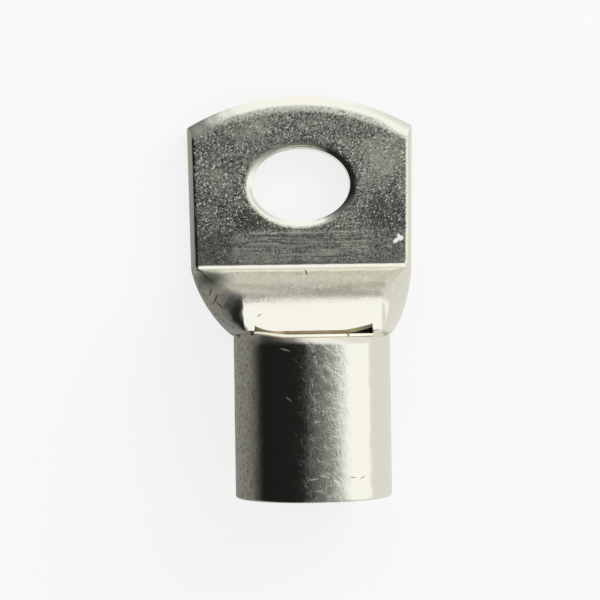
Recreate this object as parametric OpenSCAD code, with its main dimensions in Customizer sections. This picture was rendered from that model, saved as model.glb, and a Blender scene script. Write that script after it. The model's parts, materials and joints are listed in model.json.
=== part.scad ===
// Tubular cable lug: one length of copper tube, left round where the conductor goes in and
// pressed flat into a palm where the stud goes through.
// The origin is the centre of the stud hole on the seating face. The palm points along +Y,
// the mouth of the barrel opens along -Y, and the seating face looks down.

/* [Tube] */
// Outside diameter of the barrel
barrel_d = 21.6; // [18:0.1:25]
// Wall thickness of the tube
wall = 2.4; // [1.8:0.1:3]
// Length of the round barrel, from its mouth to the inspection slot
barrel_len = 22.2; // [15:0.5:60]
// Height of the barrel's lowest line above the seating face
barrel_lift = 0.05; // [0.03:0.01:0.3]
// Chamfer on the outer edge of the mouth
mouth_chamfer = 0.35; // [0.1:0.05:0.8]
// Depth of the lead-in that guides the strands into the bore
lead_in = 0.7; // [0.2:0.1:1]
// Length over which the press draws the top of the barrel's end down
draw_len = 1.5; // [0.8:0.1:2.5]
// How far the top of the barrel's end is drawn down
draw_drop = 0.7; // [0.3:0.05:1]

/* [Palm] */
// Palm width where it leaves the neck
palm_w_root = 31.3; // [29:0.1:33]
// Palm width at the free end
palm_w_end = 32.1; // [29:0.1:34]
// Thickness of the two pressed walls
palm_t = 4.6; // [4:0.1:5]
// Distance from the stud hole's centre to the tip of the palm
palm_front = 12.5; // [9:0.1:18]
// Distance from the stud hole's centre to the crease at the neck
palm_back = 11.8; // [9:0.1:18]
// Radius of the arc that the free end is cut to
end_r = 31.2; // [22:0.1:60]
// How far each folded side bulges past the flat faces
side_bulge = 1.1; // [0.5:0.1:1.6]
// Sideways offset of the barrel's axis from the palm's centre line
barrel_shift = 1.0; // [-1.5:0.05:1.5]
// Width of the rolled-over edge along the free end
end_roll = 1.9; // [0.8:0.1:2.4]

/* [Stud hole] */
// Size of the oval stud hole across the palm
hole_w = 14.0; // [8:0.1:17]
// Size of the oval stud hole along the palm
hole_l = 10.5; // [8:0.1:14]
// Width of the rolled rim on the front face, along the palm
rim_w = 1.2; // [0.4:0.1:1.6]

/* [Neck] */
// Length of the neck, from the inspection slot to the crease
neck_len = 9.4; // [8:0.1:14]
// Height of the pressed front wall at the inspection slot
lip_h = 17.6; // [15:0.1:18.5]
// Width of the flat on the pressed front wall at the slot
lip_flat = 17.6; // [14:0.1:19]
// Slope of the front wall at the slot, in degrees
lip_slope = 20; // [5:1:30]
// Slope of the front wall where it meets the palm, in degrees
ramp_slope = 74.5; // [60:0.5:80]
// Fillet radius along the crease
crease_r = 0.8; // [0.4:0.1:1.5]

/* [Inspection slot] */
// Length of the slot across the barrel
slot_len = 16.3; // [10:0.1:17]
// Width of the slot at its middle
slot_w = 0.75; // [0.5:0.05:1.2]
// How much wider the slot is at its two ends
slot_flare = 0.8; // [0.1:0.05:1.2]

/* [Hidden] */

eps = 0.01;
over = 2;                              // how far a cutting tool runs past the metal
barrel_r = barrel_d / 2;
bore_r = barrel_r - wall;
axis_z = barrel_r + barrel_lift;
crease_y = -palm_back;
root_y = crease_y - neck_len;          // the end of the round barrel
mouth_y = root_y - barrel_len;
end_y = palm_front - end_r;            // centre of the arc at the free end
half_t = palm_t / 2;                   // each wall of the pressed palm

arc_steps = 8;                         // points on each quarter of a section
bend_steps = 8;                        // sections along the bend of the front wall
fillet_steps = 4;                      // sections along the fillet at the crease
roll_angle = 37;                       // slope of a rolled edge at its outer rim
seam_h = 0.16;                         // hairline gap between the two pressed walls
seam_depth = 0.25;
emboss = 0.15;                         // how far the neck stands out of the barrel at its root
bury = 0.55;                           // how far the neck's first section sits inside the barrel
draw_steps = 4;                        // cones along the drawn end of the barrel
draw_fade = 0.95;                      // the cut's axis sits this far below the barrel's, so the
                                       // drawn end fades out on both sides
round_fn = 96;

// ---- rules for the pressed sections

function mix(a, b, t) = a + (b - a) * t;
function bezier(a, b, c, t) = a * pow(1 - t, 2) + b * 2 * t * (1 - t) + c * t * t;
function share(y) = min(1, max(0, (y - root_y) / neck_len));

// The tube spreads sideways as it is pressed: quickly at first, then ever less towards the palm.
function spread(t) = pow(t, 0.8) * (1.36 - 0.36 * t);
function half_width(y) = y > crease_y
    ? mix(palm_w_root, palm_w_end, (y - crease_y) / (palm_back + palm_front)) / 2
    : mix(barrel_r + emboss, palm_w_root / 2, spread(share(y)));
function centre_x(y) = barrel_shift * (1 - sin(90 * share(y)));
function top_flat(y) = mix(lip_flat / 2, half_width(y) - side_bulge, pow(share(y), 6));
function bottom_flat(y) = mix(1.5, half_width(y) - side_bulge, pow(share(y), 1.2));
function side_ratio(y) = mix(0.66, 0.5, share(y));

// A closed section across the tube at y: a flat top and bottom, joined by quarter ellipses
// that meet at the widest point. [half width, top z, bottom z, height ratio of the widest point,
// half flat on top, half flat below]
function section(y, x, w, top, bottom, ratio, flat_t, flat_b) =
    let (side = bottom + (top - bottom) * ratio)
    [
        for (i = [0 : arc_steps]) let (a = 90 * i / arc_steps)
            [x + flat_t + (w - flat_t) * cos(a), y, side + (top - side) * sin(a)],
        for (i = [arc_steps : -1 : 0]) let (a = 90 * i / arc_steps)
            [x - flat_t - (w - flat_t) * cos(a), y, side + (top - side) * sin(a)],
        for (i = [1 : arc_steps]) let (a = 90 * i / arc_steps)
            [x - flat_b - (w - flat_b) * cos(a), y, side - (side - bottom) * sin(a)],
        for (i = [arc_steps : -1 : 1]) let (a = 90 * i / arc_steps)
            [x + flat_b + (w - flat_b) * cos(a), y, side - (side - bottom) * sin(a)],
    ];

// Skins a list of sections that all have the same number of points.
module loft(sections) {
    n = len(sections[0]);
    m = len(sections);
    polyhedron(
        points = [for (s = sections) for (p = s) p],
        faces = [
            [for (i = [n - 1 : -1 : 0]) i],
            [for (i = [0 : n - 1]) (m - 1) * n + i],
            for (j = [0 : m - 2]) for (i = [0 : n - 1]) let (k = (i + 1) % n)
                [j * n + i, j * n + k, (j + 1) * n + k, (j + 1) * n + i],
        ]
    );
}

// ---- the front wall's profile along the neck, as [y, z, slope] stations

fillet_reach = crease_r * tan(ramp_slope / 2);
fillet_y = crease_y + fillet_reach;
ramp_end = [fillet_y - crease_r * sin(ramp_slope), palm_t + crease_r * (1 - cos(ramp_slope))];
lip_start = [root_y, lip_h];
// where the tangents at the two ends of the bend cross
bend_y = (ramp_end[1] - lip_h + ramp_end[0] * tan(ramp_slope) - root_y * tan(lip_slope))
    / (tan(ramp_slope) - tan(lip_slope));
bend_at = [bend_y, lip_h - (bend_y - root_y) * tan(lip_slope)];

function bend_slope(t) =
    let (d = (bend_at - lip_start) * (1 - t) + (ramp_end - bend_at) * t) atan2(-d[1], d[0]);

front_wall = [
    for (i = [0 : bend_steps]) let (t = i / bend_steps, p = bezier(lip_start, bend_at, ramp_end, t))
        [p[0], p[1], bend_slope(t)],
    for (i = [1 : fillet_steps]) let (a = ramp_slope * (1 - i / fillet_steps))
        [fillet_y - crease_r * sin(a), palm_t + crease_r * (1 - cos(a)), a],
];

// the same wall seen from inside: each station moved in by the wall's thickness
inner_wall = [
    for (s = front_wall) [s[0] - half_t * sin(s[2]), s[1] - half_t * cos(s[2])]
];

outer_sections = concat(
    [section(root_y - bury, barrel_shift, barrel_r - bury, axis_z + barrel_r - bury - wall / 2,
        axis_z - barrel_r + bury, 0.5, 1.5, 1.5)],
    [for (s = front_wall)
        section(s[0], centre_x(s[0]), half_width(s[0]), s[1], 0, side_ratio(s[0]),
            top_flat(s[0]), bottom_flat(s[0]))],
    [let (y = palm_front + over)
        section(y, 0, half_width(y), palm_t, 0, 0.5,
            half_width(y) - side_bulge, half_width(y) - side_bulge)]
);

// The hollow of the neck narrows to a wedge where the two walls meet.
hollow_stations = [for (s = inner_wall) if (s[0] > root_y + eps && s[1] > half_t + 0.3) s];
hollow_end_y = fillet_y - half_t * 0.6;

inner_sections = concat(
    [section(root_y - bury, barrel_shift, bore_r - 0.3, axis_z + bore_r - 1.2, axis_z - bore_r + 0.3,
        0.52, 4, 1.5)],
    [for (s = hollow_stations)
        section(s[0], centre_x(s[0]), half_width(s[0]) - half_t, s[1], half_t,
            side_ratio(s[0]), top_flat(s[0]) - 1.2, bottom_flat(s[0]) * 0.9 - 0.5)],
    [section(hollow_end_y, centre_x(hollow_end_y), half_width(hollow_end_y) - half_t - 1,
        half_t + seam_h / 2, half_t - seam_h / 2, 0.5,
        half_width(hollow_end_y) - half_t - 2, half_width(hollow_end_y) - half_t - 2)]
);

// ---- the pieces of metal and the tools that cut them

module along_barrel(from_y) {
    translate([barrel_shift, from_y, axis_z]) rotate([-90, 0, 0]) children();
}

module barrel() {
    difference() {
        along_barrel(mouth_y) rotate_extrude($fn = round_fn)
            polygon([
                [0, 0],
                [barrel_r - mouth_chamfer, 0],
                [barrel_r, mouth_chamfer],
                [barrel_r, barrel_len],
                [0, barrel_len]
            ]);
        drawn_end();
    }
}

// The ring of metal that the drawn end lacks: a rounded edge, deepest along the top.
module drawn_end() {
    draw_r = (pow(draw_len, 2) + pow(draw_drop, 2)) / (2 * draw_drop);
    outer = barrel_r + draw_fade;
    translate([0, 0, -draw_fade]) along_barrel(root_y) rotate_extrude($fn = round_fn)
        polygon(concat(
            [for (i = [0 : draw_steps]) let (run = draw_len * i / draw_steps)
                [outer - draw_r + sqrt(pow(draw_r, 2) - pow(run, 2)), run - draw_len]],
            [[outer - draw_drop, over], [outer + over, over], [outer + over, -draw_len]]
        ));
}

module pressed_end() {
    loft(outer_sections);
}

module bore() {
    along_barrel(mouth_y - over) cylinder(r = bore_r, h = over + barrel_len + eps, $fn = round_fn);
    along_barrel(mouth_y - eps) cylinder(r1 = bore_r + lead_in * 0.6, r2 = bore_r, h = lead_in, $fn = round_fn);
}

module neck_hollow() {
    loft(inner_sections);
}

// The slot follows the straight end of the barrel on one side and the pressed wall's bowed
// lip on the other, so it is widest at its ends.
module inspection_slot() {
    bow_r = (pow(slot_len / 2, 2) + pow(slot_flare, 2)) / (2 * slot_flare);
    translate([barrel_shift, root_y, axis_z]) linear_extrude(barrel_r + over) difference() {
        translate([-slot_len / 2, 0]) square([slot_len, slot_w + slot_flare]);
        translate([0, slot_w + bow_r]) circle(bow_r, $fn = 4 * round_fn);
    }
}

// The ring of metal that a rolled edge lacks: reach is its width, from the edge inwards.
module roll_profile(edge_r, reach, outward) {
    roll_r = reach / sin(roll_angle);
    side = outward ? 1 : -1;
    translate([edge_r - side * reach, 0]) difference() {
        translate([side > 0 ? 0 : -reach - over, palm_t - roll_r])
            square([reach + over, roll_r + over]);
        translate([0, palm_t - roll_r + eps]) circle(roll_r, $fn = round_fn);
    }
}

module free_end_cut() {
    translate([0, end_y, 0]) {
        difference() {
            translate([-palm_w_end, end_r - palm_front * 0.8, -over])
                cube([2 * palm_w_end, palm_front + 2 * over, palm_t + 2 * over]);
            translate([0, 0, -2 * over]) cylinder(r = end_r, h = palm_t + 4 * over, $fn = 4 * round_fn);
        }
        rotate_extrude($fn = 4 * round_fn) roll_profile(end_r, end_roll, true);
        rotate_extrude($fn = 4 * round_fn)
            polygon([[end_r - seam_depth, half_t], [end_r + 1, half_t + seam_h], [end_r + 1, half_t - seam_h]]);
    }
}

module stud_hole() {
    scale([hole_w / hole_l, 1, 1]) {
        translate([0, 0, -over]) cylinder(d = hole_l, h = palm_t + 2 * over, $fn = round_fn);
        rotate_extrude($fn = round_fn) roll_profile(hole_l / 2, rim_w, false);
    }
}

module cable_lug() {
    color("#b9b7a9") difference() {
        union() {
            barrel();
            pressed_end();
        }
        bore();
        neck_hollow();
        inspection_slot();
        free_end_cut();
        stud_hole();
    }
}

cable_lug();
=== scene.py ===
# Cable lug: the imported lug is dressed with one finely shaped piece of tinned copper.
import json
from math import asin, atan2, cos, degrees, pi, radians, sin, sqrt, tan

import bpy
from mathutils import Matrix, Vector, noise


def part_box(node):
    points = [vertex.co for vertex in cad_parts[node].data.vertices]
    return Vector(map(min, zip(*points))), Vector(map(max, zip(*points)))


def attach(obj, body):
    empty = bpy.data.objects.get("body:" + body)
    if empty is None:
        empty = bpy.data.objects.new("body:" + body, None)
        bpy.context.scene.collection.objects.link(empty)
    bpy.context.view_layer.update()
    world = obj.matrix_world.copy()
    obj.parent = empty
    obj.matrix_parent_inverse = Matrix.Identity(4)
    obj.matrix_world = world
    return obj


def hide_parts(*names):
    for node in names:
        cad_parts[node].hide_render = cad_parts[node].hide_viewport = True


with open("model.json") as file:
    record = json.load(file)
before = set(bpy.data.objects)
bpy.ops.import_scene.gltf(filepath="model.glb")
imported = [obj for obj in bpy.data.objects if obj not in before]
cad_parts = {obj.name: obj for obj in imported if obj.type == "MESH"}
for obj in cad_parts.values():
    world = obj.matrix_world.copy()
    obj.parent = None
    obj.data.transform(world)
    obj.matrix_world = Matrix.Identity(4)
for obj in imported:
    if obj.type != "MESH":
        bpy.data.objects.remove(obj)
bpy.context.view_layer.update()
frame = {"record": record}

mm = 0.001                     # shapes are worked in millimetres and brought to metres once
nodeLow, nodeHigh = [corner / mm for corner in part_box("cable_lug")]
mounts = {mount["name"]: mount for mount in frame["record"]["mounts"]}
boreMount = mounts["conductor_bore"]
boreAt = [value / mm for value in boreMount["pos_m"]]


def mix(low, high, share):
    return low + (high - low) * share


def clamp(value, low=0.0, high=1.0):
    return max(low, min(high, value))


def smooth(low, high, value):
    share = clamp((value - low) / (high - low))
    return share * share * (3 - 2 * share)


def deselectAll():
    if bpy.context.object and bpy.context.object.mode != "OBJECT":
        bpy.ops.object.mode_set(mode="OBJECT")
    bpy.ops.object.select_all(action="DESELECT")


def activate(piece):
    deselectAll()
    piece.select_set(True)
    bpy.context.view_layer.objects.active = piece


def applyAll(piece):
    activate(piece)
    for modifier in list(piece.modifiers):
        bpy.ops.object.modifier_apply(modifier=modifier.name)


def skin(name, rings):
    # A flat grid is added, each of its rows is wrapped into one closed section, the seam is merged
    # and both ends are capped.
    deselectAll()
    bpy.ops.mesh.primitive_grid_add(x_subdivisions=len(rings[0]), y_subdivisions=len(rings) - 1,
                                    size=1)
    piece = bpy.context.object
    piece.name = name
    flat = []
    for ring in rings:
        for point in list(ring) + [ring[0]]:
            flat.extend(point)
    piece.data.vertices.foreach_set("co", flat)
    bpy.ops.object.mode_set(mode="EDIT")
    bpy.ops.mesh.select_all(action="SELECT")
    bpy.ops.mesh.remove_doubles(threshold=1e-5)
    bpy.ops.mesh.select_all(action="DESELECT")
    bpy.ops.mesh.select_mode(type="EDGE")
    bpy.ops.mesh.select_non_manifold()
    bpy.ops.mesh.fill_holes(sides=0)
    bpy.ops.mesh.select_all(action="SELECT")
    bpy.ops.mesh.normals_make_consistent(inside=False)
    bpy.ops.object.mode_set(mode="OBJECT")
    return piece


def carve(piece, tool, operation="DIFFERENCE"):
    boolean = piece.modifiers.new("cut", "BOOLEAN")
    boolean.operation = operation
    boolean.object = tool
    boolean.solver = "EXACT"
    boolean.material_mode = "TRANSFER"     # a cut face keeps the finish of the tool that made it
    applyAll(piece)
    bpy.data.objects.remove(tool, do_unlink=True)


tube = {
    "radius": nodeHigh.z - boreAt[2],
    "bore": boreMount["dims"]["r_mm"],
    "axisX": boreAt[0],
    "axisZ": boreAt[2],
    "mouth": nodeLow.y,
    "root": boreAt[1] + boreMount["dims"]["length_mm"],
    "edge": 0.35,                # rounding of the mouth's outer edge
    "leadIn": 0.7,
    "leadInFlare": 0.42,
    "boreReach": 0.33,           # how far the bore's cut runs past the barrel's root
    "reach": 0.25,               # the barrel's edge stands a little into the slot
    "drawLength": 1.5,           # how far back the barrel's end is drawn down at the slot
    "drawRadius": 2.2,
    "drawDrop": 0.62,
    "drawFade": (66, 90),        # degrees from the top over which the drawn end fades out
    "lip": 0.30,                 # width of the sawn edge along the slot, whose pale colour is partly a painted highlight
    "lipDrop": 0.14,
    "lipLowest": 4,              # the sawn edge shows from this height above the axis
    "groove": 0.06,              # hairline groove between the drawn shoulder and the lip
    "grooveHalf": 0.07,
    "grooveBack": 0.04,
    "pull": 0.5,                 # how far the metal at the slot's left end is drawn to the palm
    "pullSide": (3.5, 8.3),
    "pullBack": 2.6,
    "capBulge": 0.06,
    "capInset": 2.5,
    "ripple": 0.018,             # unevenness of the drawn tube
    "rippleSize": 5.0,
    "rippleRadius": 10.8,
    "rippleLowest": -0.9,        # the line that the tube lies on stays true
    "turns": 256,
    "edgeSteps": 5,
    "plainSteps": 60,
    "drawSteps": 30,
}

palm = {
    "thick": mounts["palm_front"]["pos_m"][2] / mm,
    "front": nodeHigh.y,
    "crease": -11.8,
    "widthRoot": 31.29,
    "widthEnd": 32.09,
    "bulge": 1.1,
    "endRadius": 31.2,
    "endRoll": 2.6,
    "endSlope": 34,              # steepest slope of the rolled edge, in degrees
    "endEagerness": 0.85,        # below 1 the slope comes on early
    "endReach": 36,              # degrees that the arc's cut covers on each side
    "endTurns": 96,
    "seam": 0.16,
    "seamDepth": 0.25,
    "holeWide": 14.0,
    "holeLong": 10.5,
    "rim": 1.2,
    "rimSlope": 38,
    "rimEagerness": 0.8,
    "holeTurns": 160,
    "rollSteps": 14,
    "over": 3,                   # how far a cutting tool runs past the metal
}

neck = {
    "length": palm["crease"] - tube["root"],
    "lipHeight": 17.6,
    "lipFlat": 18.7,
    "rootFlat": 16.9,
    "lipSlope": 20,
    "rampSlope": 74.5,
    "creaseRadius": 0.8,
    "emboss": -0.03,
    "bendPull": 1.4,             # how closely the pressed wall follows its corner over the ramp
    "crown": 0.18,               # how much the pressed wall still bows up between its corners
    "backFlat": 1.5,
    "sideRoot": 0.62,            # height of the widest point, as a share of the section
    "sidePalm": 0.5,
    "cornerRoot": (1.12, 1.6),   # fullness of the upper corners, across and upwards
    "cornerMiddle": (1.42, 2.0),
    "cornerPalm": 1.7,
    "bury": 0.55,
    "buriedDrop": 1.2,
    "hollowGap": 0.3,            # the hollow's first section sits this far inside the bore
    "hollowSideRoot": 0.66,
    "hollowSideBuried": 0.52,
    "hollowFlat": 1.2,
    "hollowLeast": 0.08,
    "arcSteps": 30,
    "flatSteps": 30,
    "bendSteps": 40,
    "filletSteps": 8,
    "palmSteps": 36,
}


def along(y):
    # 0 at the barrel's end, 1 at the palm's crease
    return clamp((y - tube["root"]) / neck["length"])


def spread(share):
    return share ** 0.8 * (1.36 - 0.36 * share)


def halfWidth(y):
    if y > palm["crease"]:
        run = (y - palm["crease"]) / (palm["front"] - palm["crease"])
        return mix(palm["widthRoot"], palm["widthEnd"], run) / 2
    return mix(tube["radius"] + neck["emboss"], palm["widthRoot"] / 2, spread(along(y)))


def centreX(y):
    return tube["axisX"] * (1 - sin(radians(90 * along(y))))


def topFlat(y):
    # narrow where it leaves the round barrel, even over the lip, then spreading to the palm
    lip = mix(neck["rootFlat"] / 2, neck["lipFlat"] / 2, smooth(0.0, 0.13, along(y)))
    return mix(lip, halfWidth(y) - palm["bulge"], along(y) ** 9)


def topLean(y):
    # the flat stays over the barrel's axis while the pressed sides move to the palm's middle
    return (tube["axisX"] - centreX(y)) * (1 - smooth(0.45, 1.0, along(y)))


def topCorner(y):
    # the press leaves a narrow edge beside the flat and an even slope below it
    share = along(y)
    opened, flattened = smooth(0.0, 0.3, share), smooth(0.8, 1.0, share)
    (acrossRoot, upRoot), (acrossMiddle, upMiddle) = neck["cornerRoot"], neck["cornerMiddle"]
    across = mix(mix(acrossRoot, acrossMiddle, opened), neck["cornerPalm"], flattened)
    return across, mix(upRoot, upMiddle, opened)


def bottomFlat(y):
    return mix(neck["backFlat"], halfWidth(y) - palm["bulge"], along(y) ** 1.2)


def drawnHeight(x):
    # height of the drawn barrel end at this distance from its axis, which the neck starts from
    offset = min(abs(x - tube["axisX"]), tube["radius"])
    fromTop = degrees(asin(min(offset / (tube["radius"] - tube["drawDrop"]), 1)))
    radius = tube["radius"] - tube["drawDrop"] * (1 - smooth(*tube["drawFade"], fromTop))
    return tube["axisZ"] + sqrt(max(radius ** 2 - offset ** 2, 0)) - 0.03


def section(y, x, half, top, bottom, ratio, flatTop, flatBottom, crown=0.0, corner=(2, 2),
            lean=0.0, rounded=0.0):
    # Flat above and below, joined by curves that meet at the widest point. The corner gives the
    # fullness of the upper curve across and upwards, where (2, 2) is a quarter ellipse. The lean
    # moves the upper flat sideways, and rounded draws the top down to the barrel's own curve.
    side = bottom + (top - bottom) * ratio
    arcs, flats = neck["arcSteps"], neck["flatSteps"]
    points = []
    upper = []
    for step in range(arcs):
        turn = pi / 2 * step / arcs
        upper.append((cos(turn) ** (2 / corner[0]), sin(turn) ** (2 / corner[1])))

    def corners(sign):
        for across, up in (upper if sign > 0 else reversed(upper)):
            out = x + lean + sign * flatTop + (sign * half - lean - sign * flatTop) * across
            height = side + (top - side) * up
            points.append((out, y, mix(height, min(drawnHeight(out), top), rounded)))

    def lowerCorner(sign, step):
        turn = pi / 2 * step / arcs
        out = x + sign * flatBottom + sign * (half - flatBottom) * cos(turn)
        points.append((out, y, side - (side - bottom) * sin(turn)))

    corners(1)
    for step in range(flats + 1):
        across = 1 - 2 * step / flats
        out = x + lean + flatTop * across
        height = top + crown * (1 - across * across)
        points.append((out, y, mix(height, min(drawnHeight(out), height), rounded)))
    corners(-1)
    for step in range(1, arcs):
        lowerCorner(-1, step)
    for step in range(flats + 1):
        points.append((x + flatBottom * (2 * step / flats - 1), y, bottom))
    for step in range(arcs - 1, 0, -1):
        lowerCorner(1, step)
    return points


def bezier(start, middle, end, share):
    weights = ((1 - share) ** 2, 2 * share * (1 - share) * neck["bendPull"], share ** 2)
    return tuple((a * weights[0] + b * weights[1] + c * weights[2]) / sum(weights)
                 for a, b, c in zip(start, middle, end))


def frontWall():
    # stations (y, z, slope) down the pressed front wall, from the slot to the palm
    rampSlope, lipSlope = radians(neck["rampSlope"]), radians(neck["lipSlope"])
    rampTan, lipTan = tan(rampSlope), tan(lipSlope)
    radius, thick = neck["creaseRadius"], palm["thick"]
    filletY = palm["crease"] + radius * tan(rampSlope / 2)
    start = (tube["root"], neck["lipHeight"])
    end = (filletY - radius * sin(rampSlope), thick + radius * (1 - cos(rampSlope)))
    bendY = (end[1] - start[1] + end[0] * rampTan - start[0] * lipTan) / (rampTan - lipTan)
    bend = (bendY, start[1] - (bendY - start[0]) * lipTan)
    nudge = 0.001
    stations = []
    for step in range(neck["bendSteps"] + 1):
        share = step / neck["bendSteps"]
        y, z = bezier(start, bend, end, share)
        before = bezier(start, bend, end, share - nudge)
        after = bezier(start, bend, end, share + nudge)
        stations.append((y, z, atan2(before[1] - after[1], after[0] - before[0])))
    for step in range(1, neck["filletSteps"] + 1):
        slope = rampSlope * (1 - step / neck["filletSteps"])
        stations.append((filletY - radius * sin(slope), thick + radius * (1 - cos(slope)), slope))
    return stations


wallStations = frontWall()
filletEnd = wallStations[-1][0]


def pressedEnd():
    # the outside of neck and palm, from a first section buried in the barrel
    root, bury, radius, axisZ = tube["root"], neck["bury"], tube["radius"], tube["axisZ"]
    rings = [section(root - bury, tube["axisX"], radius - bury,
                     axisZ + radius - bury - neck["buriedDrop"], axisZ - radius + bury,
                     0.5, neck["backFlat"], neck["backFlat"])]
    for y, top, _ in wallStations:
        crown = neck["crown"] * (1 - smooth(0.1, 0.7, along(y)))
        rings.append(section(y, centreX(y), halfWidth(y), top, 0,
                             mix(neck["sideRoot"], neck["sidePalm"], along(y)),
                             topFlat(y), bottomFlat(y), crown, topCorner(y), topLean(y),
                             1 - smooth(0.0, 0.08, along(y))))
    last = palm["front"] + 2
    for step in range(1, neck["palmSteps"] + 1):
        y = mix(filletEnd, last, step / neck["palmSteps"])
        flat = halfWidth(y) - palm["bulge"]
        rings.append(section(y, 0, halfWidth(y), palm["thick"], 0, 0.5, flat, flat, 0.0,
                             topCorner(y)))
    return skin("pressedEnd", rings)


def neckHollow():
    # the inside of the neck, one wall in from the outside and closing where the walls meet
    half, root, bore, axisZ = palm["thick"] / 2, tube["root"], tube["bore"], tube["axisZ"]
    gap = neck["hollowGap"]
    rings = [section(root - neck["bury"], tube["axisX"], bore - gap,
                     axisZ + bore - neck["buriedDrop"], axisZ - bore + gap,
                     neck["hollowSideBuried"], 4, neck["backFlat"])]
    for y, top, slope in wallStations:
        innerY, innerTop = y - half * sin(slope), top - half * cos(slope)
        if innerY > root + 0.01 and innerTop > half + gap:
            ratio = mix(neck["hollowSideRoot"], neck["sidePalm"], along(innerY))
            rings.append(section(innerY, centreX(innerY), halfWidth(innerY) - half, innerTop, half,
                                 ratio, topFlat(innerY) - neck["hollowFlat"],
                                 bottomFlat(innerY) * 0.9 - 0.5))
    endY = filletEnd - half * 0.6
    wide = halfWidth(endY) - half
    rings.append(section(endY, centreX(endY), wide - 1, half + neck["hollowLeast"],
                         half - neck["hollowLeast"], 0.5, wide - 2, wide - 2))
    return skin("neckHollow", rings)


def ripple(x, y, z, size, amount):
    return amount * noise.noise(Vector((x, y, z)) / size)


def drawnDrop(run):
    # the profile of the drawn end: a rounded shoulder, a hairline groove, then the sawn edge's lip
    lipStart = tube["drawLength"] - tube["lip"]
    shoulder = min(run, lipStart)
    drop = tube["drawRadius"] - sqrt(tube["drawRadius"] ** 2 - shoulder ** 2)
    if run > lipStart:
        drop += tube["lipDrop"] * ((run - lipStart) / tube["lip"]) ** 2
    away = abs(run - lipStart + tube["grooveBack"])
    return drop + tube["groove"] * (1 - clamp(away / tube["grooveHalf"]))


def barrelRadius(y, angle):
    # the end at the slot is drawn down by the press, over the top only
    run = y - (tube["root"] + tube["reach"] - tube["drawLength"])
    if run <= 0:
        return tube["radius"]
    fromTop = abs(degrees(angle) - 90)
    fade = 1 - smooth(*tube["drawFade"], min(fromTop, 360 - fromTop))
    return tube["radius"] - drawnDrop(run) * fade


def pulled(across, y):
    nearRoot = smooth(tube["root"] - tube["pullBack"], tube["root"], y)
    return tube["pull"] * smooth(*tube["pullSide"], -across) * nearRoot


def barrelStations():
    # (y, inset) along the barrel, from its rounded mouth to the cap inside the neck
    edge, mouth, end = tube["edge"], tube["mouth"], tube["root"] + tube["reach"]
    edgeSteps, plainSteps, drawSteps = tube["edgeSteps"], tube["plainSteps"], tube["drawSteps"]
    stations = []
    for step in range(edgeSteps + 1):
        turn = pi / 2 * step / edgeSteps
        stations.append((mouth + edge * (1 - cos(turn)), edge * (1 - sin(turn))))
    plain = end - tube["drawLength"] - mouth - edge
    for step in range(1, plainSteps + 1):
        stations.append((mouth + edge + plain * step / plainSteps, 0.0))
    for step in range(1, drawSteps + 1):
        stations.append((end - tube["drawLength"] * (1 - step / drawSteps), 0.0))
    stations.append((end + tube["capBulge"], tube["capInset"]))
    return stations


def barrel():
    axisX, axisZ, around = tube["axisX"], tube["axisZ"], tube["rippleRadius"]
    rings = []
    for y, inset in barrelStations():
        ring = []
        for step in range(tube["turns"]):
            angle = 2 * pi * step / tube["turns"]
            radius = barrelRadius(y, angle) - inset
            across, up = cos(angle), sin(angle)
            if up > tube["rippleLowest"]:
                radius -= tube["ripple"] - ripple(across * around, y, up * around,
                                                  tube["rippleSize"], tube["ripple"])
            pull = pulled(radius * across, y) * (up > 0)
            ring.append((axisX + radius * across, y + pull, axisZ + radius * up))
        rings.append(ring)
    body = skin("barrel", rings)
    for material in (tinPlate, sawnEdge, sawnCopper):
        body.data.materials.append(material)
    # the lip and the end face at the slot were sawn after plating; the lip's pale colour is partly
    # a painted highlight
    lipStart = tube["root"] + tube["reach"] - tube["lip"]
    for face in body.data.polygons:
        across = face.center.x - axisX
        run = face.center.y - pulled(across, face.center.y) - lipStart
        high = face.center.z > axisZ + tube["lipLowest"]
        if run > -0.11 and high and abs(across) < slot["right"]:
            face.material_index = 1 if run > 0.02 else 2
    return body


def boreTool():
    mouth, bore, leadIn = tube["mouth"], tube["bore"], tube["leadIn"]
    flare = bore + tube["leadInFlare"]
    profile = [(flare, mouth - 2), (flare, mouth),
               (mix(flare, bore, 0.7), mouth + leadIn * 0.4), (bore, mouth + leadIn),
               (bore, tube["root"] - 2), (bore, tube["root"] + tube["boreReach"])]
    rings = []
    for radius, y in profile:
        ring = []
        for step in range(tube["turns"]):
            angle = 2 * pi * step / tube["turns"]
            ring.append((tube["axisX"] + radius * cos(angle), y,
                         tube["axisZ"] + radius * sin(angle)))
        rings.append(ring)
    return skin("boreTool", rings)


slot = {
    "left": -7.96,
    "right": 8.0,
    "gap": 0.8,                  # from the barrel's end to the pressed wall's edge, at the middle
    "leftRise": 0.85,
    "leftRun": 2.9,
    "leftPower": 2.0,
    "rightRise": 0.95,
    "rightRun": 4.6,
    "rightPower": 1.6,
    "waver": 0.05,
    "waverSize": 1.1,
    "bevel": 0.62,               # width of the sawn bevel along the pressed wall's edge
    "bevelDepth": 0.26,
    "back": 0.62,                # how far the cut runs back over the barrel's end
    "floor": 10.5,
    "ceiling": 26,
    "steps": 64,
}


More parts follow.
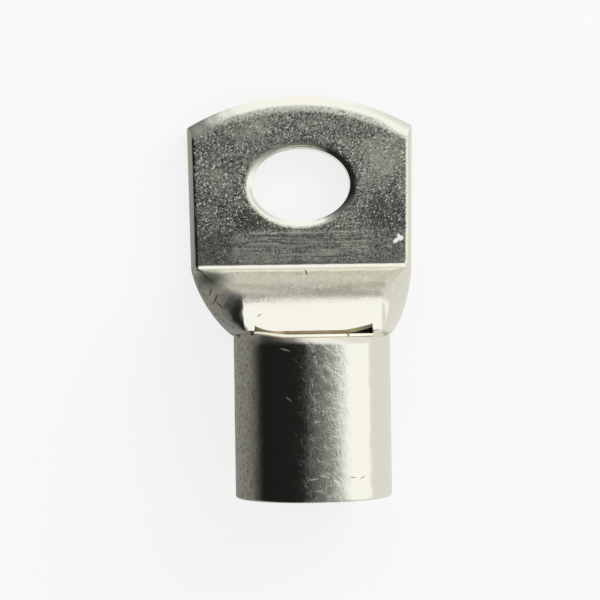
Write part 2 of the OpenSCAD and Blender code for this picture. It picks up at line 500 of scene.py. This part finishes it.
def slotTool():
    # plan of the slot: the pressed wall's edge bows to the barrel, more sharply at its left end
    left, right, axisX, root = slot["left"], slot["right"], tube["axisX"], tube["root"]
    plan = []
    for step in range(slot["steps"] + 1):
        x = mix(left, right, step / slot["steps"])
        rise = slot["gap"]
        rise += slot["leftRise"] * clamp(1 - (x - left) / slot["leftRun"]) ** slot["leftPower"]
        rise += slot["rightRise"] * clamp(1 - (right - x) / slot["rightRun"]) ** slot["rightPower"]
        rise += ripple(x, 3.1, 0.4, slot["waverSize"], slot["waver"])
        plan.append((x, rise))
    # the bevel follows the pressed wall's top, which bows up in the middle and falls away ahead
    top = [neck["lipHeight"] + neck["crown"] * (1 - (2 * x / neck["lipFlat"]) ** 2)
           - tan(radians(neck["lipSlope"])) * rise for x, rise in plan]
    low, high = [z - slot["bevelDepth"] for z in top], [z + 0.03 for z in top]
    floor, ceiling = [slot["floor"]] * len(top), [slot["ceiling"]] * len(top)
    rings = []
    for levels, bevel in ((floor, 1), (low, 1), (high, 0), (ceiling, 0)):
        ring = [(axisX + x, root + rise - bevel * slot["bevel"], z)
                for (x, rise), z in zip(plan, levels)]
        ring.append((axisX + right + 0.05, root - slot["back"], levels[-1]))
        ring.append((axisX + left, root - slot["back"], levels[0]))
        rings.append(ring)
    return skin("slotTool", rings)


def rollProfile(edge, reach, outward, steepest, eagerness):
    # points of a rolled edge from the face down to its rim, as (radius, height)
    side = 1 if outward else -1
    steps = palm["rollSteps"]
    points = []
    height = palm["thick"] + 0.01
    for step in range(steps + 1):
        points.append((edge - side * reach * (1 - step / steps), height))
        slope = radians(steepest) * ((step + 0.5) / steps) ** eagerness
        height -= tan(slope) * reach / steps
    return points


def freeEndTool():
    # everything beyond the arc, as one ring-shaped block with the rolled edge and hairline seam
    edge, half, seam, over = palm["endRadius"], palm["thick"] / 2, palm["seam"], palm["over"]
    inner = rollProfile(edge, palm["endRoll"], True, palm["endSlope"], palm["endEagerness"])
    profile = [(inner[0][0], palm["thick"] + over)] + inner
    profile += [(edge, half + seam / 2), (edge - palm["seamDepth"], half), (edge, half - seam / 2)]
    profile += [(edge, 0.25), (edge - 0.2, 0.05), (edge - 0.25, -over), (edge + 12, -over),
                (edge + 12, palm["thick"] + over)]
    turns, reach = palm["endTurns"], radians(palm["endReach"])
    centreY = palm["front"] - edge
    rings = []
    for step in range(turns + 1):
        angle = mix(pi / 2 - reach, pi / 2 + reach, step / turns)
        rings.append([(radius * cos(angle), centreY + radius * sin(angle), height)
                      for radius, height in profile])
    return skin("freeEndTool", rings)


def studHoleTool():
    edge, over = palm["holeLong"] / 2, palm["over"]
    inner = rollProfile(edge, palm["rim"], False, palm["rimSlope"], palm["rimEagerness"])
    profile = [(inner[0][0], palm["thick"] + over)] + inner
    profile += [(edge, 0.3), (edge + 0.12, 0.1), (edge + 0.22, -0.02), (edge + 0.3, -over)]
    turns = palm["holeTurns"]
    wider = (palm["holeWide"] - palm["holeLong"]) / 2
    rings = []
    for radius, height in profile:
        ring = []
        for step in range(turns):
            angle = 2 * pi * step / turns
            ring.append(((radius + wider) * cos(angle), radius * sin(angle), height))
        rings.append(ring)
    return skin("studHoleTool", rings)


def buildLug():
    lug = pressedEnd()
    lug.data.materials.append(tinPlate)
    slotCutter = slotTool()
    slotCutter.data.materials.append(sawnCopper)
    carve(lug, slotCutter)
    carve(lug, barrel(), "UNION")
    for tool in (boreTool(), neckHollow()):
        tool.data.materials.append(innerTin)
        carve(lug, tool)
    for tool in (freeEndTool(), studHoleTool()):
        tool.data.materials.append(tinPlate)
        carve(lug, tool)
    lug.name = "lugBody"
    lug.data.transform(Matrix.Scale(mm, 4))
    lug.data.update()
    return lug


class Nodes:
    # a short way to lay out a tree of shader nodes
    def __init__(self, tree):
        self.nodes, self.links = tree.nodes, tree.links

    def put(self, socket, value):
        if hasattr(value, "is_output"):
            self.links.new(value, socket)
        else:
            socket.default_value = value

    def add(self, kind, inputs, **settings):
        node = self.nodes.new("ShaderNode" + kind)
        for name, value in settings.items():
            setattr(node, name, value)
        for name, value in inputs.items():
            self.put(node.inputs[name], value)
        return node

    def maths(self, operation, first, second=0.0):
        return self.add("Math", {0: first, 1: second}, operation=operation).outputs[0]

    def chain(self, operation, values):
        result = values[0]
        for value in values[1:]:
            result = self.maths(operation, result, value)
        return result

    def times(self, *values):
        return self.chain("MULTIPLY", values)

    def plus(self, *values):
        return self.chain("ADD", values)

    def most(self, *values):
        return self.chain("MAXIMUM", values)

    def less(self, first, second):
        return self.maths("SUBTRACT", first, second)

    def absolute(self, value):
        return self.maths("ABSOLUTE", value)

    def step(self, value, low, high, start=0.0, end=1.0):
        # a soft step from start to end, which falls instead where low is above high
        ends = (start, end) if low < high else (end, start)
        return self.add("MapRange", {"Value": value, "From Min": min(low, high),
                                     "From Max": max(low, high), "To Min": ends[0],
                                     "To Max": ends[1]},
                        interpolation_type="SMOOTHSTEP").outputs[0]

    def ramp(self, value, stops):
        node = self.add("ValToRGB", {0: value})
        elements = node.color_ramp.elements
        while len(elements) > 1:
            elements.remove(elements[-1])
        elements[0].position = stops[0][0]
        elements[0].color = (stops[0][1],) * 3 + (1,)
        for position, level in stops[1:]:
            elements.new(position).color = (level,) * 3 + (1,)
        return node.outputs[0]


class Bench(Nodes):
    # the nodes of one material, with its place on the piece in millimetres
    def __init__(self, name):
        self.material = bpy.data.materials.new(name)
        self.material.use_nodes = True
        super().__init__(self.material.node_tree)
        self.shader = self.nodes["Principled BSDF"]
        coordinates = self.add("TexCoord", {})
        scaled = self.add("VectorMath", {0: coordinates.outputs["Object"], "Scale": 1 / mm},
                          operation="SCALE")
        self.place = scaled.outputs[0]
        self.x, self.y, self.z = self.add("SeparateXYZ", {0: self.place}).outputs

    def turned(self, scale=(1, 1, 1), turn=0.0, shift=(0, 0, 0)):
        return self.add("Mapping", {"Location": shift, "Rotation": (0, 0, radians(turn)),
                                    "Scale": scale, "Vector": self.place}).outputs[0]

    def noise(self, scale, detail=2.0, rough=0.5, distortion=0.0, place=None):
        return self.add("TexNoise", {"Vector": place or self.place, "Scale": scale,
                                     "Detail": detail, "Roughness": rough,
                                     "Distortion": distortion}).outputs[0]

    def blend(self, share, first, second):
        return self.add("Mix", {0: share, 6: first, 7: second}, data_type="RGBA").outputs[2]

    def bump(self, height, normal=None):
        node = self.add("Bump", {"Strength": 1.0, "Distance": mm, "Height": height})
        if normal:
            self.put(node.inputs["Normal"], normal)
        return node.outputs[0]

    def spread(self, value, low, high):
        return self.add("MapRange", {"Value": value, "From Min": low, "From Max": high}).outputs[0]

    def cells(self, scale):
        # three even random values for each small cell
        cell = self.add("TexVoronoi", {"Vector": self.place, "Scale": scale})
        return self.add("SeparateColor", {0: cell.outputs["Color"]}).outputs

    def facing(self):
        normal = self.add("NewGeometry", {}).outputs["Normal"]
        return self.add("SeparateXYZ", {0: normal}).outputs

    def mark(self, centre, length, width, turn=0.0, soft=False):
        # an elliptical spot or stroke lying on the surface
        node = self.add("Mapping", {"Location": centre, "Rotation": (0, 0, radians(turn)),
                                    "Scale": (length / 2, width / 2, 4), "Vector": self.place},
                        vector_type="TEXTURE")
        away = self.add("VectorMath", {0: node.outputs[0]}, operation="LENGTH").outputs["Value"]
        return self.step(away, 1.3, 0.2) if soft else self.step(away, 1.25, 0.6)


tin = {
    "bright": (0.895, 0.89, 0.80, 1),
    # the stain colour also serves as painted shade on surfaces that face left
    "stain": (0.34, 0.28, 0.20, 1),
    # the dull colour also serves as a painted shade band across the lower ramp
    "dull": (0.37, 0.375, 0.34, 1),
    # the pit colour also serves as painted shade in the corner beside the left flank
    "pit": (0.10, 0.105, 0.09, 1),
    "chip": (0.93, 0.93, 0.90, 1),
    "barrelRough": 0.13,
    "neckRough": 0.17,
    "palmRough": 0.15,
    "grainRough": 0.26,          # the palest grain is this much rougher than the darkest
    "calmRough": 0.05,
    "hazeRough": 0.06,
    "shoulderRough": 0.16,
    "leftRough": 0.14,
    "scratchRough": 0.32,
    "brightMarkRough": 0.7,
    "darkMarkRough": 0.6,
    "sparkleRough": 0.7,
    "stainShare": 0.75,
    "poreShare": 0.9,
    "cornerShare": 0.95,
    "cloudShare": 0.42,
    "fleckShare": 0.16,
    "rampShare": 0.24,
    "sparkleMatt": 0.55,         # a sparkle loses this much of its metal look
}

# where a finish fades in, as the two distances in millimetres between which it does
zones = {
    "palmTop": (4.44, 4.6),
    "palmCeiling": (5.2, 4.8),
    "palmCrease": (-11.3, -11.0),
    "aboveFloor": (4.7, 5.2),
    "endRoll": (7.4, 9.4),
    "calm": (-4.0, -8.5),
    "barrel": (-21.4, -22.2),
    "shoulderBack": (-22.4, -21.8),
    "shoulderFront": (-20.9, -21.0),
    "leftBarrel": (-5.4, -7.2),
    "leftFacing": (-0.62, -0.88),
    "leftAhead": (-10.0, -13.0),
    "brushedLeft": (-10.8, -9.0),
    "brushedRight": (10.4, 8.2),
    "brushedBack": (-11.3, -10.9),
    "brushedFront": (-6.4, -7.0),
    "wornLeft": (-4.6, 0.8),
    "wornRight": (7.0, 4.0),
    "rampBack": (-17.0, -15.6),
    "rampFront": (-11.6, -12.2),
    "waverBack": (-17.6, -16.4),
    "waverFront": (-13.2, -14.6),
}

# strength of each part of the palm's blasted grain, and the limits that pick it out
grain = {
    "cells": 6.0,
    "fleck": 0.55,
    "clump": 0.85,
    "broad": 0.5,
    "brushed": 2.3,
    "brushedLevel": 0.46,
    "limits": (0.67, 1.15),
    "sparkle": (0.84, 0.93),
    "sparkleClump": (0.38, 0.55),
    "pore": (0.20, 0.08),
    "poreClump": (0.62, 0.45),
    "sparkleCalm": 0.6,
    "pitCalm": 0.4,
    "endRollLift": 0.13,
}

# heights of the material's own relief
relief = {
    "wave": 0.07,
    "even": 0.008,
    "ramp": 0.03,
    "brushed": 0.05,
    "dents": 0.08,
    "curl": 0.01,
}

# bright nicks and scratches: (x, y, z), length, width, turn
strokes = {
    "palmScratch": ((5.3, -5.95, 4.6), 1.3, 0.22, -6),
    "palmArc": ((12.2, -8.9, 4.6), 1.5, 0.2, -12),
    "palmArcTip": ((12.75, -8.65, 4.6), 0.5, 0.2, 45),
    "dotHigh": ((0.75, -23.2, 21.5), 0.45, 0.3, 50),
    "dotLow": ((0.95, -23.9, 21.5), 0.5, 0.3, 20),
    "hook": ((-2.6, -29.5, 21.2), 1.1, 0.18, -38),
    "dash": ((1.0, -32.6, 21.5), 0.9, 0.2, 15),
    "curlOne": ((0.6, -40.2, 21.5), 1.5, 0.22, 8),
    "curlTwo": ((2.1, -39.9, 21.5), 1.5, 0.24, -14),
    "curlThree": ((1.3, -41.8, 21.4), 1.2, 0.22, 5),
    "shoulderNick": ((-3.0, -22.9, 21.2), 1.5, 0.25, -18),
}

# dark ticks and rubs
specks = {
    "neckTick": ((0.5, -12.45, 7.0), 0.3, 0.9, 12),
    "pillowTick": ((-6.3, -18.3, 17.2), 0.75, 0.14, 35),
    "flankRub": ((-12.2, -16.0, 10.5), 1.7, 0.3, 62),
    "flankRubTwo": ((-11.6, -16.9, 11.5), 1.5, 0.25, -48),
    "flankRubThree": ((-12.9, -15.0, 10.0), 1.3, 0.25, 75),
    "tickOne": ((5.9, -40.1, 20.4), 0.9, 0.12, -8),
    "tickTwo": ((7.2, -40.2, 19.7), 0.9, 0.12, 20),
}

# the chip near the palm's right edge, where the tin is torn to a pale rough spot
chips = {
    "chipLow": ((13.35, -8.1, 4.6), 1.0, 0.62, 35),
    "chipMiddle": ((13.95, -7.75, 4.6), 1.05, 0.8, 10),
    "chipHigh": ((13.7, -7.35, 4.6), 0.5, 0.4, 0),
}

# places where the palm's face is made brighter (positive) or darker (negative)
palmPatches = {
    "upperRight": ((11.0, 3.2, 4.6), 10.0, 7.0, 35, 0.34),
    "topLeft": ((-6.5, 8.3, 4.6), 9.0, 3.4, 22, 0.24),
    "leftMiddle": ((-11.5, 0.8, 4.6), 5.0, 4.0, -30, 0.14),
    "underRight": ((12.0, -4.5, 4.6), 6.5, 6.0, 10, -0.22),
    "underLeft": ((-8.0, -5.0, 4.6), 7.0, 3.6, -20, -0.30),
    "lowLeft": ((-12.5, -9.0, 4.6), 6.0, 5.0, 0, -0.26),
    "besideHole": ((8.7, 2.2, 4.6), 3.0, 6.0, 15, -0.16),
}


def buildTin():
    bench = Bench("tinPlate")
    x, y, z = bench.x, bench.y, bench.z
    times, plus, less, most = bench.times, bench.plus, bench.less, bench.most

    def zone(value, name):
        return bench.step(value, *zones[name])

    level = plus(z, bench.step(y, *zones["endRoll"], 0.0, grain["endRollLift"]))
    palmFace = times(zone(level, "palmTop"), zone(z, "palmCeiling"), zone(y, "palmCrease"))
    onBarrel = zone(y, "barrel")
    leftFacingShade = times(zone(bench.facing()[0], "leftFacing"), zone(y, "leftAhead"))
    onRamp = times(zone(y, "rampBack"), zone(y, "rampFront"))
    aboveFloor = zone(z, "aboveFloor")

    # blasted grain of the palm: every fleck has its own tone and dullness
    fleck, sparkle, pore = bench.cells(grain["cells"])
    clump = bench.noise(2.6, 4.0, 0.75)
    broad = bench.noise(0.5, 3.0, 0.6, 0.5)
    brushed = times(zone(x, "brushedLeft"), zone(x, "brushedRight"),
                    zone(y, "brushedBack"), zone(y, "brushedFront"))
    dashes = bench.noise(1.0, 3.0, 0.65, 0.0, bench.turned((0.16, 2.4, 0.5)))
    shade = plus(times(fleck, grain["fleck"]), times(clump, grain["clump"]),
                 times(broad, grain["broad"]),
                 times(less(dashes, grain["brushedLevel"]), brushed, grain["brushed"]))
    for *place, weight in palmPatches.values():
        shade = plus(shade, times(bench.mark(*place, soft=True), weight))
    shade = bench.spread(shade, *grain["limits"])
    calm = zone(y, "calm")
    sparkle = times(bench.step(sparkle, *grain["sparkle"]), palmFace,
                    bench.step(clump, *grain["sparkleClump"]),
                    less(1.0, times(calm, grain["sparkleCalm"])))
    pore = times(bench.step(pore, *grain["pore"]), palmFace,
                 bench.step(clump, *grain["poreClump"]))
    pitted = times(palmFace, less(1.0, shade), less(1.0, times(calm, grain["pitCalm"])))
    pitted = times(pitted, less(1.0, sparkle))

    # handling marks on the barrel: short curling strokes that thin out to the left
    curls = bench.noise(0.36, 2.0, 0.45, 1.5)
    ridge = bench.step(bench.absolute(less(curls, 0.5)), 0.018, 0.003)
    curlsTwo = bench.noise(0.55, 2.0, 0.45, 1.0, bench.turned((1, 0.6, 1), 28, (7, 3, 1)))
    ridgeTwo = bench.step(bench.absolute(less(curlsTwo, 0.52)), 0.022, 0.004)
    worn = times(zone(x, "wornLeft"), zone(x, "wornRight"), onBarrel)
    gaps = bench.noise(0.9, 3.0, 0.6, 0.0, bench.turned((1, 1, 1), 0, (11, 5, 2)))
    curl = times(most(ridge, ridgeTwo), bench.step(gaps, 0.46, 0.60), worn)
    cloud = bench.noise(0.8, 5.0, 0.7, 0.8)
    haze = times(bench.step(cloud, 0.38, 0.66), worn)

    brightMark = most(*[bench.mark(*stroke) for stroke in strokes.values()])
    darkMark = most(*[bench.mark(*speck) for speck in specks.values()])
    chip = most(*[bench.mark(*spot) for spot in chips.values()])

    wave = times(bench.noise(0.42, 1.0, 0.4), relief["wave"])
    even = times(bench.noise(4.0, 2.0, 0.6), relief["even"])
    waver = times(zone(y, "waverBack"), zone(y, "waverFront"), bench.noise(2.4, 3.0, 0.7),
                  relief["ramp"])
    lines = times(dashes, brushed, palmFace, relief["brushed"])
    dents = times(cloud, worn, relief["dents"])
    normal = bench.bump(plus(wave, even, waver))
    normal = bench.bump(plus(lines, plus(dents, times(curl, relief["curl"]))), normal)
    bench.put(bench.shader.inputs["Normal"], normal)

    spots = bench.step(bench.noise(1.9, 4.0, 0.7, 0.4), 0.50, 0.62)
    toned = most(times(fleck, palmFace, tin["fleckShare"]),
                 times(bench.step(clump, 0.45, 0.68), onRamp, tin["rampShare"]))
    colour = bench.blend(toned, tin["bright"], tin["stain"])
    # painted shade: surfaces that face left are darkened in spots to the stain colour
    colour = bench.blend(times(spots, leftFacingShade, tin["stainShare"]), colour, tin["stain"])
    colour = bench.blend(pitted, colour, tin["dull"])
    colour = bench.blend(times(pore, tin["poreShare"]), colour, tin["pit"])
    # painted shade: a dark patch in the corner where the left flank meets the palm
    corner = bench.mark((-12.5, -13.4, 7.6), 8.6, 4.4, -36, soft=True)
    colour = bench.blend(times(corner, tin["cornerShare"], aboveFloor), colour, tin["pit"])
    # painted shade: a mottled darker band across the lower ramp, standing in for a dark reflection
    rampShadeBand = bench.mark((2.5, -14.4, 13.0), 19.0, 2.6, 0, soft=True)
    rampShadeBand = times(rampShadeBand, bench.step(clump, 0.36, 0.60), aboveFloor, tin["cloudShare"])
    colour = bench.blend(rampShadeBand, colour, tin["dull"])
    colour = bench.blend(darkMark, colour, tin["stain"])
    colour = bench.blend(chip, colour, tin["chip"])
    bench.put(bench.shader.inputs["Base Color"], colour)
    bench.put(bench.shader.inputs["Metallic"],
              less(1.0, most(chip, times(sparkle, tin["sparkleMatt"]))))

    rough = plus(tin["neckRough"], times(onBarrel, tin["barrelRough"] - tin["neckRough"]))
    rough = plus(rough, times(palmFace, tin["palmRough"] - tin["neckRough"]))
    rough = plus(rough, times(palmFace, shade, tin["grainRough"]))
    rough = less(rough, times(palmFace, calm, tin["calmRough"]))
    rough = plus(rough, times(haze, tin["hazeRough"]))
    rough = plus(rough, times(zone(y, "shoulderBack"), zone(y, "shoulderFront"),
                              tin["shoulderRough"]))
    rough = plus(rough, times(onBarrel, zone(x, "leftBarrel"), tin["leftRough"]))
    rough = most(rough, times(curl, tin["scratchRough"]), times(brightMark, tin["brightMarkRough"]),
                 times(darkMark, tin["darkMarkRough"]), times(sparkle, tin["sparkleRough"]))
    bench.put(bench.shader.inputs["Roughness"], rough)
    return bench.material


sawn = {
    "low": (0.40, 0.33, 0.18, 1),
    "high": (0.62, 0.53, 0.33, 1),
    # dark colour of the painted shade at the slot's ends
    "end": (0.16, 0.16, 0.09, 1),
    "endShare": 0.8,
    "endFrom": (4.2, 7.0),
    "middleX": 1.0,
    "metallic": 0.1,
    "rough": 0.5,
    "relief": 0.015,
    # pale colour of the sawn lip, partly real sawn metal and partly a painted highlight
    "edgeLow": (0.95, 0.90, 0.72, 1),
    "edgeHigh": (1.0, 0.98, 0.87, 1),
    "edgeRough": 0.35,
    "nick": (0.30, 0.24, 0.12, 1),
    "nickPlace": ((5.45, -20.9, 20.2), 0.34, 1.2, 25),
}


def buildSawn():
    # the slot's cut bevel, where the copper shows through the thin plating
    bench = Bench("sawnCopper")
    shade = bench.noise(4.0, 3.0, 0.6, 0.0, bench.turned((0.5, 2, 1)))
    colour = bench.blend(bench.step(shade, 0.3, 0.7), sawn["low"], sawn["high"])
    # painted shade: the bevel darkens towards both ends of the slot, where the hollow behind it
    # lies in shade
    ends = bench.step(bench.absolute(bench.less(bench.x, sawn["middleX"])), *sawn["endFrom"])
    colour = bench.blend(bench.times(ends, sawn["endShare"]), colour, sawn["end"])
    bench.put(bench.shader.inputs["Base Color"], colour)
    bench.put(bench.shader.inputs["Metallic"], sawn["metallic"])
    bench.put(bench.shader.inputs["Roughness"], sawn["rough"])
    bench.put(bench.shader.inputs["Normal"], bench.bump(bench.times(shade, sawn["relief"])))
    return bench.material


def buildEdge():
    # the barrel's sawn lip at the slot, pale partly as a painted highlight, with one dark nick
    bench = Bench("sawnEdge")
    shade = bench.noise(1.6, 3.0, 0.6)
    colour = bench.blend(bench.step(shade, 0.35, 0.62), sawn["edgeLow"], sawn["edgeHigh"])
    nick = bench.mark(*sawn["nickPlace"])
    bench.put(bench.shader.inputs["Base Color"], bench.blend(nick, colour, sawn["nick"]))
    bench.put(bench.shader.inputs["Roughness"], sawn["edgeRough"])
    return bench.material


innerFinish = {
    "colour": (0.74, 0.68, 0.53, 1),
    "rough": 0.42,
    "relief": 0.08,
}


def buildInner():
    bench = Bench("innerTin")
    bench.put(bench.shader.inputs["Base Color"], innerFinish["colour"])
    bench.put(bench.shader.inputs["Metallic"], 1.0)
    bench.put(bench.shader.inputs["Roughness"], innerFinish["rough"])
    height = bench.times(bench.noise(1.2, 3.0, 0.6), innerFinish["relief"])
    bench.put(bench.shader.inputs["Normal"], bench.bump(height))
    return bench.material


tinPlate = buildTin()
sawnCopper = buildSawn()
sawnEdge = buildEdge()
innerTin = buildInner()
lugBody = buildLug()
print("lug shaped:", len(lugBody.data.polygons), "faces")

activate(lugBody)
bpy.ops.object.shade_smooth_by_angle(angle=radians(28))
weighted = lugBody.modifiers.new("normals", "WEIGHTED_NORMAL")
weighted.keep_sharp = True
weighted.weight = 60
applyAll(lugBody)
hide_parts("cable_lug")
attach(lugBody, "root")
triangles = sum(len(face.vertices) - 2 for face in lugBody.data.polygons)
print("lug finished:", triangles, "triangles")


studio = {
    "floorSize": 1.6,
    "floorColour": 0.85,
    "floorGlow": 0.985,          # the pale background that the camera and the metal see
    "glowShare": 0.8,
    "skyLight": 0.72,
    "skySeen": 0.95,
    "skyTint": (1.0, 1.0, 0.985, 1),
    "lampWatts": 2.4,
    "lampSize": 0.5,
    "lampPlace": (0.45, 0.38, 0.42),
}


def grey(value):
    return (value, value, value, 1)


def addFloor():
    deselectAll()
    bpy.ops.mesh.primitive_plane_add(size=studio["floorSize"], location=(0, 0, 0))
    floor = bpy.context.object
    floor.name = "floor"
    material = bpy.data.materials.new("paleFloor")
    material.use_nodes = True
    tree = Nodes(material.node_tree)
    tree.nodes.clear()
    path = tree.add("LightPath", {}).outputs
    seen = tree.most(path["Is Camera Ray"], path["Is Glossy Ray"], path["Is Transmission Ray"])
    matt = tree.add("BsdfDiffuse", {"Color": grey(studio["floorColour"])})
    glow = tree.add("Emission", {"Color": grey(studio["floorGlow"]), "Strength": 1.0})
    blend = tree.add("MixShader", {0: tree.times(seen, studio["glowShare"]), 1: matt.outputs[0],
                                   2: glow.outputs[0]})
    tree.add("OutputMaterial", {"Surface": blend.outputs[0]})
    floor.data.materials.append(material)


# a card on the table that only the metal's reflections see: dark on the left, pale on the right
table = {
    "size": 8,
    "lift": 0.03,
    "span": 200,                 # millimetres that the brightness stops run over
    # brightness outwards from under the lug, as (share of the span, value)
    "left": ((0.0, 0.30), (0.065, 0.28), (0.12, 0.23), (0.25, 0.21), (0.40, 0.16), (0.60, 0.11),
             (1.0, 0.06)),
    "ahead": ((0.06, 0.40), (0.13, 0.40), (0.20, 0.48), (0.30, 0.62), (0.42, 0.80), (0.60, 0.95),
              (1.0, 1.0)),
    "leftLift": (-26, 0, 1.0, 1.3),
    "rightValue": 0.77,
    "sideFrom": (-9, 6),
    "farFrom": (12, 26),
    "farRightLift": (14, 45, 0.0, 0.22),
    "farLeftValue": 0.19,
    "farLeftFrom": (-16, -3),
    "greyLeft": (1, 7),
    "greyRight": (22, 14),
    "greyAhead": (60, 40),
    "greyShare": 0.16,
    "doorwayFrom": (40, 75),
    "doorwaySide": (0.95, 0.65),
    "doorwayShare": 0.15,
    "tint": (1.0, 0.985, 0.945, 1),
}


def addTableCard():
    deselectAll()
    bpy.ops.mesh.primitive_plane_add(size=table["size"], location=(0, 0, table["lift"] * mm))
    card = bpy.context.object
    card.name = "tableCard"
    card.visible_camera = False
    card.visible_diffuse = False
    card.visible_shadow = False
    card.visible_transmission = False
    bench = Bench("tableCard")
    x, y = bench.x, bench.y
    times, plus, less, step = bench.times, bench.plus, bench.less, bench.step
    left = bench.ramp(times(x, -1 / table["span"]), table["left"])
    left = times(left, step(y, *table["leftLift"]))
    ahead = bench.ramp(times(y, 1 / table["span"]), table["ahead"])
    greyer = times(step(x, *table["greyLeft"]), step(x, *table["greyRight"]),
                   step(y, *table["greyAhead"]), table["greyShare"])
    aheadRight = less(plus(ahead, step(x, *table["farRightLift"])), greyer)
    aside = bench.maths("DIVIDE", times(x, -1), bench.most(y, 1.0))
    doorway = times(step(y, *table["doorwayFrom"]), step(aside, *table["doorwaySide"]))
    aheadLeft = less(table["farLeftValue"], times(doorway, table["doorwayShare"]))
    far = bench.most(times(aheadRight, step(x, *table["farLeftFrom"])), aheadLeft)
    side, beyond = step(x, *table["sideFrom"]), step(y, *table["farFrom"])
    value = plus(times(left, less(1.0, side)), times(side, table["rightValue"]))
    value = plus(times(value, less(1.0, beyond)), times(far, beyond))
    glow = bench.add("Emission", {"Color": table["tint"], "Strength": value})
    bench.put(bench.nodes["Material Output"].inputs["Surface"], glow.outputs[0])
    bench.nodes.remove(bench.shader)
    card.data.materials.append(bench.material)


# the room that the metal reflects: dark overhead and on the left, white on the right and ahead
room = {
    "stops": ((-0.4, 0.006), (-0.12, 0.03), (0.0, 0.10), (0.07, 0.115), (0.15, 0.13),
              (0.24, 0.16), (0.33, 0.20), (0.395, 0.29), (0.46, 0.40), (0.515, 0.54),
              (0.555, 0.74), (0.59, 0.93), (0.63, 1.03), (1.2, 1.03)),
    "first": 0.4,                # the stops run from this much below 0
    "span": 1.6,
    "sideways": 0.8,
    "ahead": 1.35,
    "behind": 0.18,
    "behindSide": 0.3,
    "behindFrom": (0.0, 0.35),
    "leftFall": 4.0,
    # a dark doorway low on the left and ahead
    "doorway": 1.4,
    "doorwayLeft": (0.12, 0.24),
    "doorwayTop": (0.12, 0.34),
    # the corner on the right and ahead is a little greyer near the table
    "corner": 0.27,
    "cornerAhead": (0.02, 0.3),
    "cornerRight": (0.2, 0.5),
    "cornerTop": (0.45, 0.65),
    # a faint haze ahead on the left
    "haze": 0.10,
    "hazeAhead": (0.15, 0.6),
    "hazeLeft": (0.2, 0.4),
    "hazeEnd": (0.5, 0.8),
    "hazeBottom": (0.2, 0.45),
}


def addWorld():
    world = bpy.data.worlds.new("studio")
    bpy.context.scene.world = world
    world.use_nodes = True
    sky = Nodes(world.node_tree)
    times, plus, less, step = sky.times, sky.plus, sky.less, sky.step
    direction = sky.add("TexCoord", {}).outputs["Generated"]
    x, y, z = sky.add("SeparateXYZ", {0: direction}).outputs
    leftward = sky.most(times(x, -1.0), 0.0)
    toward = plus(times(x, room["sideways"]), times(sky.most(y, 0.0), room["ahead"]))
    behind = step(times(y, -1.0), *room["behindFrom"])
    lift = less(room["behind"], times(x, room["behindSide"]))
    toward = plus(toward, times(behind, lift))
    toward = less(toward, times(leftward, leftward, room["leftFall"]))
    doorway = times(step(leftward, *room["doorwayLeft"]), less(1.0, step(z, *room["doorwayTop"])))
    toward = less(toward, times(doorway, room["doorway"]))
    stops = [((at + room["first"]) / room["span"], value) for at, value in room["stops"]]
    toward = sky.maths("DIVIDE", plus(toward, room["first"]), room["span"])
    corner = times(step(y, *room["cornerAhead"]), step(x, *room["cornerRight"]),
                   less(1.0, step(z, *room["cornerTop"])))
    reflected = times(sky.ramp(toward, stops), less(1.0, times(corner, room["corner"])))
    haze = times(step(y, *room["hazeAhead"]), step(leftward, *room["hazeLeft"]), room["haze"],
                 less(1.0, step(leftward, *room["hazeEnd"])), step(z, *room["hazeBottom"]))
    reflected = plus(reflected, haze)
    path = sky.add("LightPath", {}).outputs
    light = sky.add("Mix", {0: path["Is Glossy Ray"], 2: studio["skyLight"], 3: reflected},
                    data_type="FLOAT")
    seen = sky.add("Mix", {0: path["Is Camera Ray"], 2: light.outputs[0], 3: studio["skySeen"]},
                   data_type="FLOAT")
    background = sky.nodes["Background"]
    sky.put(background.inputs["Color"], studio["skyTint"])
    sky.put(background.inputs["Strength"], seen.outputs[0])


camera = {
    "distance": 296.4,
    "viewWidth": 82.907,         # millimetres across the view at the target
    "target": (1.0, -15.0, 10.7),
    "roll": 2.0,
    "pitch": -0.064,
    "turn": 0.804,
    "offset": (1.532, 1.331),
    "sensor": 36,
    "clip": (0.01, 10),
}


def addCamera():
    view = (Matrix.Rotation(radians(camera["turn"]), 3, "Z")
            @ Matrix.Rotation(radians(-camera["pitch"]), 3, "X")
            @ Matrix.Rotation(radians(camera["roll"]), 3, "Y"))
    data = bpy.data.cameras.new("studioCamera")
    eye = bpy.data.objects.new("studioCamera", data)
    bpy.context.collection.objects.link(eye)
    data.sensor_width = camera["sensor"]
    data.lens = camera["distance"] * camera["sensor"] / camera["viewWidth"]
    data.clip_start, data.clip_end = camera["clip"]
    across, up = camera["offset"]
    back = view.transposed() @ Vector((-across, -up, camera["distance"]))
    place = (Vector(camera["target"]) + back) * mm
    eye.matrix_world = Matrix.Translation(place) @ view.transposed().to_4x4()
    bpy.context.scene.camera = eye


def addLamp():
    data = bpy.data.lights.new("softbox", "AREA")
    data.shape = "SQUARE"
    data.size = studio["lampSize"]
    data.energy = studio["lampWatts"]
    lamp = bpy.data.objects.new("softbox", data)
    bpy.context.collection.objects.link(lamp)
    lamp.location = studio["lampPlace"]
    lamp.rotation_euler = (-lamp.location).to_track_quat("-Z", "Y").to_euler()
    lamp.visible_glossy = False


addFloor()
addTableCard()
addWorld()
addLamp()
addCamera()
bpy.context.scene.view_settings.view_transform = "Standard"

print("scene set")
